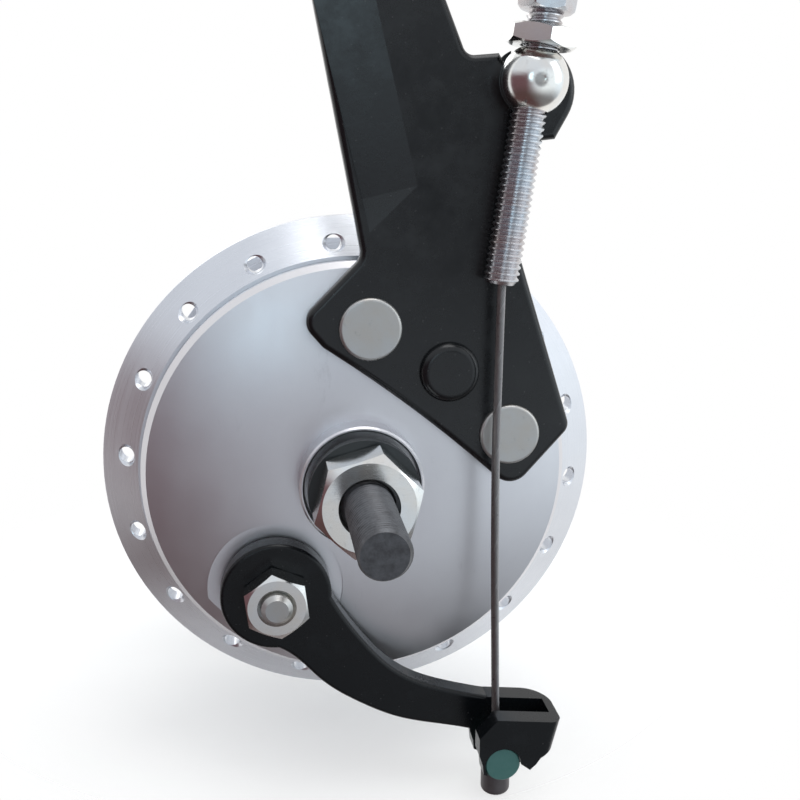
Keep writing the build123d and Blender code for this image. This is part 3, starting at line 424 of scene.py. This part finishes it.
def make_stranded_wire():
    route, path = make_wire_route()
    length = sum((Vector(b) - Vector(a)).length for a, b in zip(path, path[1:]))
    half_turn = math.pi / wire_outer_strands
    strand_radius = wire_radius * math.sin(half_turn) / (1 + math.sin(half_turn))
    orbit = wire_radius - strand_radius
    ring_step = length / wire_rings
    let_go()
    bpy.ops.mesh.primitive_cylinder_add(
        vertices=strand_sides,
        radius=strand_radius,
        depth=ring_step,
        end_fill_type="NOTHING",
        location=(orbit, 0, ring_step / 2),
    )
    bundle = newest("stranded_wire")
    bpy.ops.object.transform_apply(location=True, rotation=True, scale=True)
    edit(bundle, "VERT")
    bpy.ops.mesh.select_all(action="SELECT")
    bpy.ops.mesh.spin(
        steps=wire_outer_strands - 1,
        dupli=True,
        angle=math.tau * (wire_outer_strands - 1) / wire_outer_strands,
        center=(0, 0, 0),
        axis=(0, 0, 1),
    )
    bpy.ops.mesh.select_all(action="DESELECT")
    bpy.ops.mesh.primitive_cylinder_add(
        vertices=core_sides,
        radius=orbit,
        depth=ring_step,
        end_fill_type="NOTHING",
        location=(0, 0, ring_step / 2),
    )
    bpy.ops.object.mode_set(mode="OBJECT")
    bpy.ops.object.modifier_add(type="ARRAY")
    rings = bundle.modifiers[-1]
    rings.count = wire_rings
    rings.use_relative_offset = False
    rings.use_constant_offset = True
    rings.constant_offset_displace = (0, 0, ring_step)
    apply_newest_modifier(bundle)
    edit(bundle, "VERT")
    bpy.ops.mesh.select_all(action="SELECT")
    bpy.ops.mesh.remove_doubles(threshold=0.02 * ring_step)
    bpy.ops.mesh.select_all(action="DESELECT")
    bpy.ops.mesh.select_non_manifold()
    bpy.ops.mesh.edge_face_add()
    bpy.ops.object.mode_set(mode="OBJECT")
    bpy.ops.object.modifier_add(type="SIMPLE_DEFORM")
    twist = bundle.modifiers[-1]
    twist.deform_method = "TWIST"
    twist.deform_axis = "Z"
    twist.angle = math.tau * length / wire_strand_lay
    apply_newest_modifier(bundle)
    bpy.ops.object.modifier_add(type="CURVE")
    bend = bundle.modifiers[-1]
    bend.object = route
    bend.deform_axis = "POS_Z"
    apply_newest_modifier(bundle)
    bpy.data.objects.remove(route)
    face_outwards(bundle)
    smooth(bundle, wound_smooth_angle)
    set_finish(bundle, "wire_steel")
    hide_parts("inner_wire")
    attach(bundle, "cable_fitting")
    return bundle


# Shoe springs


def mark_wire_end(spring, way):
    """Selects the open end of the wire on this side: 1 for the upper one, -1 for the lower one."""
    bpy.ops.mesh.select_all(action="DESELECT")
    bpy.ops.mesh.select_non_manifold()
    bpy.ops.object.mode_set(mode="OBJECT")
    corners = spring.data.vertices
    for corner in corners:
        corner.select = corner.select and corner.co.z * way > 0
    for edge in spring.data.edges:
        edge.select = edge.select and all(corners[i].select for i in edge.vertices)
    bpy.ops.object.mode_set(mode="EDIT")


def curl(hinge, axis, degrees, steps):
    bpy.ops.mesh.spin(steps=steps, angle=math.radians(degrees), center=hinge, axis=axis)


def lead_on(move):
    bpy.ops.mesh.extrude_region_move(TRANSFORM_OT_translate={"value": move})


def make_shoe_spring(name, place):
    """A wound spring across the two shoes, its hooks bent into their webs."""
    half_coil = spring_turns * spring_pitch / 2
    let_go()
    bpy.ops.mesh.primitive_circle_add(
        vertices=spring_wire_sides,
        radius=spring_wire_radius,
        location=(spring_coil_radius, 0, -half_coil),
        rotation=(math.radians(90), 0, 0),
    )
    spring = newest(name)
    bpy.ops.object.transform_apply(location=True, rotation=True, scale=True)
    bpy.ops.object.modifier_add(type="SCREW")
    winding = spring.modifiers[-1]
    winding.screw_offset = spring_pitch
    winding.iterations = spring_turns
    winding.steps = winding.render_steps = spring_coil_steps
    apply_newest_modifier(spring)
    edit(spring, "EDGE")
    straight = spring_reach - half_coil - 2 * spring_bend - spring_lead
    for way in (1, -1):
        mark_wire_end(spring, way)
        curl((spring_coil_radius / 2, 0, way * half_coil), (0, 0, 1), -180 * way, 8)
        curl((0, 0, way * (half_coil + spring_bend)), (1, 0, 0), 90, 4)
        lead_on((0, way * spring_bend, way * spring_lead))
        lead_on((0, 0, way * straight))
        curl((0, spring_bend, way * (spring_reach - spring_bend)), (1, 0, 0), 90 * way, 4)
        lead_on((0, spring_hook_depth - spring_bend, 0))
        bpy.ops.mesh.edge_face_add()
    towards_anchor = Vector((math.cos(brake_line_angle), 0, math.sin(brake_line_angle)))
    across = Vector((-math.sin(brake_line_angle), 0, math.cos(brake_line_angle)))
    turn = Matrix((towards_anchor, Vector((0, 1, 0)), across)).transposed()
    settle(spring, towards_anchor * place + Vector((0, spring_y, 0)), turn)
    face_outwards(spring)
    smooth(spring, wound_smooth_angle)
    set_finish(spring, "spring_steel")
    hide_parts(name.replace("_coil", "_spring"))
    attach(spring, "leading_shoe")
    return spring


# Finishes


class Finish:
    """A material under construction: its nodes read the piece's own place in the hub."""

    def __init__(self, name, metallic, roughness):
        self.material = bpy.data.materials.new(name)
        self.material.use_nodes = True
        self.tree = self.material.node_tree
        self.shader = self.tree.nodes["Principled BSDF"]
        self.shader.inputs["Metallic"].default_value = metallic
        self.shader.inputs["Roughness"].default_value = roughness
        self.place = self.tree.nodes.new("ShaderNodeTexCoord").outputs["Object"]

    def set(self, socket, value):
        self.shader.inputs[socket].default_value = value

    def node(self, kind, inputs, **settings):
        made = self.tree.nodes.new(kind)
        for key, value in settings.items():
            setattr(made, key, value)
        for key, value in inputs.items():
            if isinstance(value, bpy.types.NodeSocket):
                self.tree.links.new(value, made.inputs[key])
            else:
                made.inputs[key].default_value = value
        return made

    def stretched(self, scale):
        return self.node("ShaderNodeMapping", {"Vector": self.place, "Scale": scale}).outputs[0]

    def grain(self, size, detail=3.0, roughness=0.5, place=None):
        """Cloudy noise whose patches are about this many metres across."""
        inputs = {"Vector": place or self.place, "Scale": 1 / size, "Detail": detail, "Roughness": roughness}
        return self.node("ShaderNodeTexNoise", inputs).outputs[0]

    def turning_marks(self, spacing):
        """Fine rings about the axle, as a lathe tool leaves them."""
        split = self.node("ShaderNodeSeparateXYZ", {"Vector": self.place})
        flat = self.node("ShaderNodeCombineXYZ", {"X": split.outputs["X"], "Y": split.outputs["Z"]})
        radius = self.node("ShaderNodeVectorMath", {0: flat.outputs[0]}, operation="LENGTH")
        ring = self.node("ShaderNodeCombineXYZ", {"X": radius.outputs["Value"], "Y": split.outputs["Y"]})
        return self.grain(spacing, 2.0, 0.6, ring.outputs[0])

    def speckles(self, size, threshold):
        """Sparse flecks: 0 between them and 1 on them."""
        fleck = self.node("ShaderNodeTexVoronoi", {"Vector": self.place, "Scale": 1 / size})
        return self.span(fleck.outputs["Distance"], threshold, threshold * 0.6, 0.0, 1.0)

    def span(self, value, low, high, to_low, to_high):
        inputs = {"Value": value, "From Min": low, "From Max": high, "To Min": to_low, "To Max": to_high}
        return self.node("ShaderNodeMapRange", inputs).outputs["Result"]

    def times(self, first, second):
        return self.node("ShaderNodeMath", {0: first, 1: second}, operation="MULTIPLY").outputs[0]

    def plus(self, first, second):
        return self.node("ShaderNodeMath", {0: first, 1: second}, operation="ADD").outputs[0]

    def mixed(self, share, first, second):
        """Two colours mixed by a share from 0 to 1."""
        mix = self.tree.nodes.new("ShaderNodeMix")
        mix.data_type = "RGBA"
        for key, value in ((0, share), (6, first), (7, second)):
            if isinstance(value, bpy.types.NodeSocket):
                self.tree.links.new(value, mix.inputs[key])
            else:
                mix.inputs[key].default_value = value if key == 0 else (*value, 1)
        return mix.outputs[2]

    def colour(self, socket):
        self.tree.links.new(socket, self.shader.inputs["Base Color"])

    def roughness(self, socket):
        self.tree.links.new(socket, self.shader.inputs["Roughness"])

    def relief(self, height, depth, strength=1.0):
        inputs = {"Height": height, "Distance": depth, "Strength": strength}
        bump = self.node("ShaderNodeBump", inputs)
        self.tree.links.new(bump.outputs[0], self.shader.inputs["Normal"])


def satin_plate_alloy():
    """Fine-blasted alloy with soft clouds, a faint stain and small handling marks."""
    finish = Finish("satin_plate_alloy", 1.0, 0.34)
    clouds = finish.grain(14 * millimetre, 4.0, 0.6)
    blast = finish.grain(0.16 * millimetre, 2.0, 0.6)
    handling = finish.grain(5 * millimetre, 6.0, 0.75, finish.stretched((1.0, 1.0, 0.25)))
    tone = finish.mixed(clouds, (0.66, 0.65, 0.68), (0.76, 0.76, 0.78))
    worn = finish.span(handling, 0.62, 0.72, 0.0, 0.35)
    finish.colour(finish.mixed(worn, tone, (0.50, 0.49, 0.51)))
    finish.roughness(finish.span(finish.plus(clouds, handling), 0.6, 1.4, 0.30, 0.42))
    finish.relief(blast, 0.012 * millimetre)
    return finish.material


def turned_hub_alloy():
    """Turned alloy: fine rings about the axle under a satin sheen."""
    finish = Finish("turned_hub_alloy", 1.0, 0.3)
    rings = finish.turning_marks(0.22 * millimetre)
    clouds = finish.grain(9 * millimetre, 4.0, 0.6)
    finish.colour(finish.mixed(clouds, (0.68, 0.70, 0.74), (0.78, 0.80, 0.84)))
    finish.roughness(finish.span(rings, 0.3, 0.7, 0.26, 0.40))
    finish.relief(rings, 0.010 * millimetre)
    return finish.material


def black_coating(name, tone, roughness, peel, gloss):
    """Smooth black coating with a slight orange peel, dust and a few dull rubs."""
    finish = Finish(name, 0.0, roughness)
    finish.set("IOR", 1.5)
    finish.set("Specular IOR Level", gloss)
    surface = finish.grain(1.1 * millimetre, 2.0, 0.5)
    rubs = finish.grain(7 * millimetre, 6.0, 0.7)
    dust = finish.speckles(1.7 * millimetre, 0.10)
    rubbed = finish.span(rubs, 0.55, 0.75, 0.0, 0.5)
    base = finish.mixed(rubbed, tone, tuple(2.2 * part + 0.004 for part in tone))
    finish.colour(finish.mixed(finish.times(dust, 0.25), base, (0.12, 0.12, 0.12)))
    finish.roughness(finish.span(rubs, 0.35, 0.75, roughness - 0.04, roughness + 0.12))
    finish.relief(surface, peel)
    return finish.material


def black_arm_coating():
    return black_coating("black_arm_coating", (0.006, 0.007, 0.008), 0.24, 0.010 * millimetre, 0.45)


def black_lever_coating():
    return black_coating("black_lever_coating", (0.004, 0.005, 0.006), 0.24, 0.008 * millimetre, 0.28)


def black_oxide():
    return black_coating("black_oxide", (0.014, 0.018, 0.020), 0.38, 0.006 * millimetre, 0.5)


def plated_steel(name, warm, cool, roughness, scratch):
    """Plated steel: a tint that drifts between warm and cool, hairline scratches and dull spots."""
    finish = Finish(name, 1.0, roughness)
    drift = finish.grain(6 * millimetre, 3.0, 0.6)
    hairs = finish.grain(0.35 * millimetre, 4.0, 0.7, finish.stretched((0.15, 1.0, 1.0)))
    spots = finish.grain(1.3 * millimetre, 5.0, 0.7)
    tint = finish.mixed(finish.span(drift, 0.35, 0.65, 0.0, 1.0), warm, cool)
    dull = finish.span(spots, 0.60, 0.74, 0.0, 0.4)
    finish.colour(finish.mixed(dull, tint, tuple(0.6 * part for part in cool)))
    brushed = finish.span(hairs, 0.3, 0.7, roughness - 0.04, roughness + 0.05)
    finish.roughness(finish.plus(brushed, finish.times(dull, 0.25)))
    finish.relief(hairs, scratch)
    return finish.material


def bright_zinc():
    warm, cool = (0.82, 0.79, 0.74), (0.80, 0.82, 0.82)
    return plated_steel("bright_zinc", warm, cool, 0.16, 0.002 * millimetre)


def dull_zinc():
    warm, cool = (0.50, 0.48, 0.45), (0.50, 0.51, 0.51)
    return plated_steel("dull_zinc", warm, cool, 0.40, 0.006 * millimetre)


def rolled_thread_steel():
    warm, cool = (0.56, 0.52, 0.52), (0.60, 0.64, 0.68)
    return plated_steel("rolled_thread_steel", warm, cool, 0.26, 0.003 * millimetre)


def dark_axle_steel():
    """Dark phosphated steel, mottled and a little polished where parts rub."""
    finish = Finish("dark_axle_steel", 0.8, 0.42)
    mottle = finish.grain(1.6 * millimetre, 5.0, 0.7)
    fine = finish.grain(0.2 * millimetre, 3.0, 0.6)
    patches = finish.span(mottle, 0.35, 0.7, 0.0, 1.0)
    finish.colour(finish.mixed(patches, (0.075, 0.075, 0.08), (0.14, 0.145, 0.155)))
    finish.roughness(finish.span(mottle, 0.3, 0.7, 0.36, 0.52))
    finish.relief(fine, 0.008 * millimetre)
    return finish.material


def passivated_cable_end():
    """Cast cable end: green passivate on the cross barrel, brown-grey on the stem."""
    finish = Finish("passivated_cable_end", 0.55, 0.42)
    split = finish.node("ShaderNodeSeparateXYZ", {"Vector": finish.place})
    barrel_foot = wire_end.z - cable_barrel_drop
    on_barrel = finish.span(split.outputs["Z"], barrel_foot - millimetre, barrel_foot, 0.0, 1.0)
    stains = finish.grain(1.2 * millimetre, 5.0, 0.7)
    stem = finish.mixed(stains, (0.075, 0.065, 0.065), (0.13, 0.12, 0.125))
    barrel = finish.mixed(stains, (0.06, 0.17, 0.155), (0.10, 0.22, 0.20))
    finish.colour(finish.mixed(on_barrel, stem, barrel))
    finish.roughness(finish.span(stains, 0.3, 0.7, 0.36, 0.5))
    finish.relief(finish.grain(0.25 * millimetre, 3.0, 0.6), 0.008 * millimetre)
    return finish.material


def ground_bearing_steel():
    finish = Finish("ground_bearing_steel", 1.0, 0.16)
    marks = finish.turning_marks(0.12 * millimetre)
    oil = finish.grain(2.5 * millimetre, 4.0, 0.6)
    finish.colour(finish.mixed(oil, (0.58, 0.57, 0.55), (0.70, 0.70, 0.72)))
    finish.roughness(finish.span(oil, 0.3, 0.7, 0.12, 0.26))
    finish.relief(marks, 0.003 * millimetre)
    return finish.material


def turned_liner_iron():
    finish = Finish("turned_liner_iron", 0.9, 0.36)
    rings = finish.turning_marks(0.3 * millimetre)
    clouds = finish.grain(3 * millimetre, 4.0, 0.6)
    finish.colour(finish.mixed(clouds, (0.19, 0.19, 0.20), (0.30, 0.30, 0.31)))
    finish.roughness(finish.span(rings, 0.3, 0.7, 0.30, 0.46))
    finish.relief(rings, 0.014 * millimetre)
    return finish.material


def cast_shoe_alloy():
    finish = Finish("cast_shoe_alloy", 0.95, 0.48)
    sand = finish.grain(0.5 * millimetre, 4.0, 0.65)
    clouds = finish.grain(7 * millimetre, 3.0, 0.6)
    finish.colour(finish.mixed(clouds, (0.52, 0.52, 0.52), (0.64, 0.64, 0.64)))
    finish.roughness(finish.span(sand, 0.3, 0.7, 0.42, 0.6))
    finish.relief(sand, 0.04 * millimetre)
    return finish.material


def moulded_lining():
    """Friction lining: dark resin with pale fibres and brass chips."""
    finish = Finish("moulded_lining", 0.0, 0.8)
    body = finish.grain(0.8 * millimetre, 6.0, 0.75)
    chips = finish.speckles(1.1 * millimetre, 0.16)
    resin = finish.mixed(body, (0.07, 0.055, 0.045), (0.16, 0.13, 0.11))
    finish.colour(finish.mixed(chips, resin, (0.45, 0.33, 0.16)))
    finish.roughness(finish.span(body, 0.3, 0.7, 0.7, 0.9))
    finish.relief(body, 0.05 * millimetre)
    return finish.material


def sintered_bronze():
    finish = Finish("sintered_bronze", 1.0, 0.38)
    pores = finish.speckles(0.4 * millimetre, 0.22)
    clouds = finish.grain(2 * millimetre, 4.0, 0.6)
    metal = finish.mixed(clouds, (0.52, 0.35, 0.17), (0.66, 0.48, 0.26))
    finish.colour(finish.mixed(pores, metal, (0.12, 0.08, 0.04)))
    finish.roughness(finish.span(clouds, 0.3, 0.7, 0.32, 0.48))
    finish.relief(pores, 0.02 * millimetre, 0.6)
    return finish.material


def oiled_spring_steel():
    finish = Finish("oiled_spring_steel", 1.0, 0.3)
    scale = finish.grain(0.7 * millimetre, 5.0, 0.7)
    finish.colour(finish.mixed(scale, (0.16, 0.16, 0.18), (0.34, 0.33, 0.33)))
    finish.roughness(finish.span(scale, 0.3, 0.7, 0.22, 0.42))
    finish.relief(scale, 0.006 * millimetre)
    return finish.material


def galvanised_strand():
    finish = Finish("galvanised_strand", 1.0, 0.34)
    spangle = finish.grain(0.6 * millimetre, 4.0, 0.7)
    finish.colour(finish.mixed(spangle, (0.22, 0.21, 0.21), (0.38, 0.37, 0.37)))
    finish.roughness(finish.span(spangle, 0.3, 0.7, 0.26, 0.46))
    finish.relief(spangle, 0.004 * millimetre)
    return finish.material


finish_of_slot = {
    "plate_alloy": satin_plate_alloy,
    "hub_alloy": turned_hub_alloy,
    "black_pressing": black_arm_coating,
    "black_forging": black_lever_coating,
    "black_washer": black_oxide,
    "bright_zinc": bright_zinc,
    "dull_zinc": dull_zinc,
    "threaded_steel": rolled_thread_steel,
    "axle_steel": dark_axle_steel,
    "bearing_steel": ground_bearing_steel,
    "liner_iron": turned_liner_iron,
    "shoe_alloy": cast_shoe_alloy,
    "friction_lining": moulded_lining,
    "bush_bronze": sintered_bronze,
    "spring_steel": oiled_spring_steel,
    "wire_steel": galvanised_strand,
    "cable_end_casting": passivated_cable_end,
}


def paint(piece, material):
    piece.data.materials.clear()
    piece.data.materials.append(material)


def paint_everything(new_pieces):
    materials = {slot: make() for slot, make in finish_of_slot.items()}
    for subpart in frame["record"]["subparts"]:
        paint(frame["nodes"][subpart["node"]], materials[subpart["material_slot"]])
    for piece in new_pieces:
        paint(piece, materials[piece["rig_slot"]])


# Studio


def make_camera():
    lens = bpy.data.cameras.new("photo_camera")
    lens.lens = camera_lens
    lens.sensor_width = 36
    lens.clip_start = 0.005
    lens.clip_end = 20
    camera = bpy.data.objects.new("photo_camera", lens)
    camera.location = camera_place
    camera.rotation_euler = (math.radians(90) - camera_drop, 0, camera_turn)
    bpy.context.scene.collection.objects.link(camera)
    bpy.context.scene.camera = camera


def make_floor():
    """A pale round floor that fades out at its rim."""
    let_go()
    height = cad_box[0][2] - floor_gap
    bpy.ops.mesh.primitive_circle_add(
        vertices=floor_sides, radius=floor_reach, fill_type="NGON", location=(0, floor_middle, height)
    )
    floor = newest("floor")
    bpy.ops.object.transform_apply(location=True, rotation=True, scale=True)
    finish = Finish("pale_floor", 0.0, 0.8)
    inputs = {0: finish.place, 1: (0, floor_middle, height)}
    distance = finish.node("ShaderNodeVectorMath", inputs, operation="DISTANCE")
    inputs = {
        "Value": distance.outputs["Value"],
        "From Min": floor_fade_start,
        "From Max": floor_fade_end,
        "To Min": 1.0,
        "To Max": 0.0,
    }
    fade = finish.node("ShaderNodeMapRange", inputs, interpolation_type="SMOOTHSTEP")
    tone = finish.grain(0.05, 2.0)
    finish.colour(finish.mixed(tone, (0.93, 0.93, 0.92), (0.95, 0.95, 0.94)))
    finish.set("Specular IOR Level", 0.1)
    finish.tree.links.new(fade.outputs["Result"], finish.shader.inputs["Alpha"])
    paint(floor, finish.material)


def make_lamp(name, place, target, size, power, colour):
    light = bpy.data.lights.new(name, "AREA")
    light.shape = "RECTANGLE"
    light.size, light.size_y = size
    light.energy = power
    light.color = colour
    lamp = bpy.data.objects.new(name, light)
    lamp.location = place
    lamp.rotation_euler = (Vector(target) - Vector(place)).to_track_quat("-Z", "Y").to_euler()
    bpy.context.scene.collection.objects.link(lamp)


def make_lamps():
    middle = (0.0, 0.0, 0.03)
    make_lamp("top_softbox", (0.12, -0.10, 0.65), middle, (0.45, 0.35), 1.3, (1.0, 1.0, 1.0))
    make_lamp("right_window", (0.62, -0.30, 0.30), middle, (0.35, 0.55), 0.8, (0.94, 0.98, 1.0))
    make_lamp("back_softbox", (-0.30, 0.60, 0.40), middle, (0.45, 0.45), 0.9, (1.0, 1.0, 1.0))


def make_room():
    """Soft room light: white behind the hub, dim and warm at the left, a dark workbench below."""
    world = bpy.data.worlds.new("studio_room")
    bpy.context.scene.world = world
    world.use_nodes = True
    nodes, links = world.node_tree.nodes, world.node_tree.links
    nodes.clear()
    direction = nodes.new("ShaderNodeTexCoord").outputs["Generated"]
    split = nodes.new("ShaderNodeSeparateXYZ")
    links.new(direction, split.inputs[0])

    def span(value, low, high):
        made = nodes.new("ShaderNodeMapRange")
        made.interpolation_type = "SMOOTHSTEP"
        made.inputs["From Min"].default_value = low
        made.inputs["From Max"].default_value = high
        links.new(value, made.inputs["Value"])
        return made.outputs["Result"]

    def mixed(share, first, second):
        made = nodes.new("ShaderNodeMix")
        made.data_type = "RGBA"
        for key, value in ((0, share), (6, first), (7, second)):
            if isinstance(value, bpy.types.NodeSocket):
                links.new(value, made.inputs[key])
            else:
                made.inputs[key].default_value = (*value, 1)
        return made.outputs[2]

    def towards(place, near, far):
        """1 in a round patch of the room in this direction, 0 well away from it."""
        made = nodes.new("ShaderNodeVectorMath")
        made.operation = "DISTANCE"
        made.inputs[1].default_value = place
        links.new(direction, made.inputs[0])
        return span(made.outputs["Value"], far, near)

    sideways = split.outputs["X"]
    upward = split.outputs["Z"]
    walls = mixed(span(sideways, -0.50, 0.42), (0.15, 0.08, 0.09), (1.0, 1.1, 1.18))
    ground = mixed(span(sideways, -0.5, 0.6), (0.09, 0.055, 0.05), (0.21, 0.21, 0.22))
    front = mixed(span(upward, -0.75, -0.15), ground, walls)
    open_room = mixed(span(upward, 0.12, 0.50), front, (0.78, 0.81, 0.86))
    window = towards((-0.17, -0.97, 0.13), 0.04, 0.20)
    lit_room = mixed(window, open_room, (1.9, 2.5, 2.8))
    figure = towards((0.22, -0.97, 0.00), 0.08, 0.24)
    room = mixed(figure, lit_room, (0.22, 0.23, 0.25))
    bright_room = mixed(span(split.outputs["Y"], -0.06, 0.10), room, (1.0, 1.0, 1.0))
    workbench = towards((-0.36, 0.0, -0.93), 0.42, 0.85)
    whole = mixed(workbench, bright_room, (0.10, 0.055, 0.055))
    background = nodes.new("ShaderNodeBackground")
    links.new(whole, background.inputs["Color"])
    output = nodes.new("ShaderNodeOutputWorld")
    links.new(background.outputs[0], output.inputs["Surface"])


# The hub dressed for its portrait

make_camera()
new_pieces = [
    make_threaded_axle(),
    make_threaded_barrel(),
    make_stranded_wire(),
    make_shoe_spring("anchor_end_coil", spring_offset),
    make_shoe_spring("cam_end_coil", -spring_offset),
]
paint_everything(new_pieces)
make_floor()
make_lamps()
make_room()
bpy.context.scene.view_settings.view_transform = "Standard"
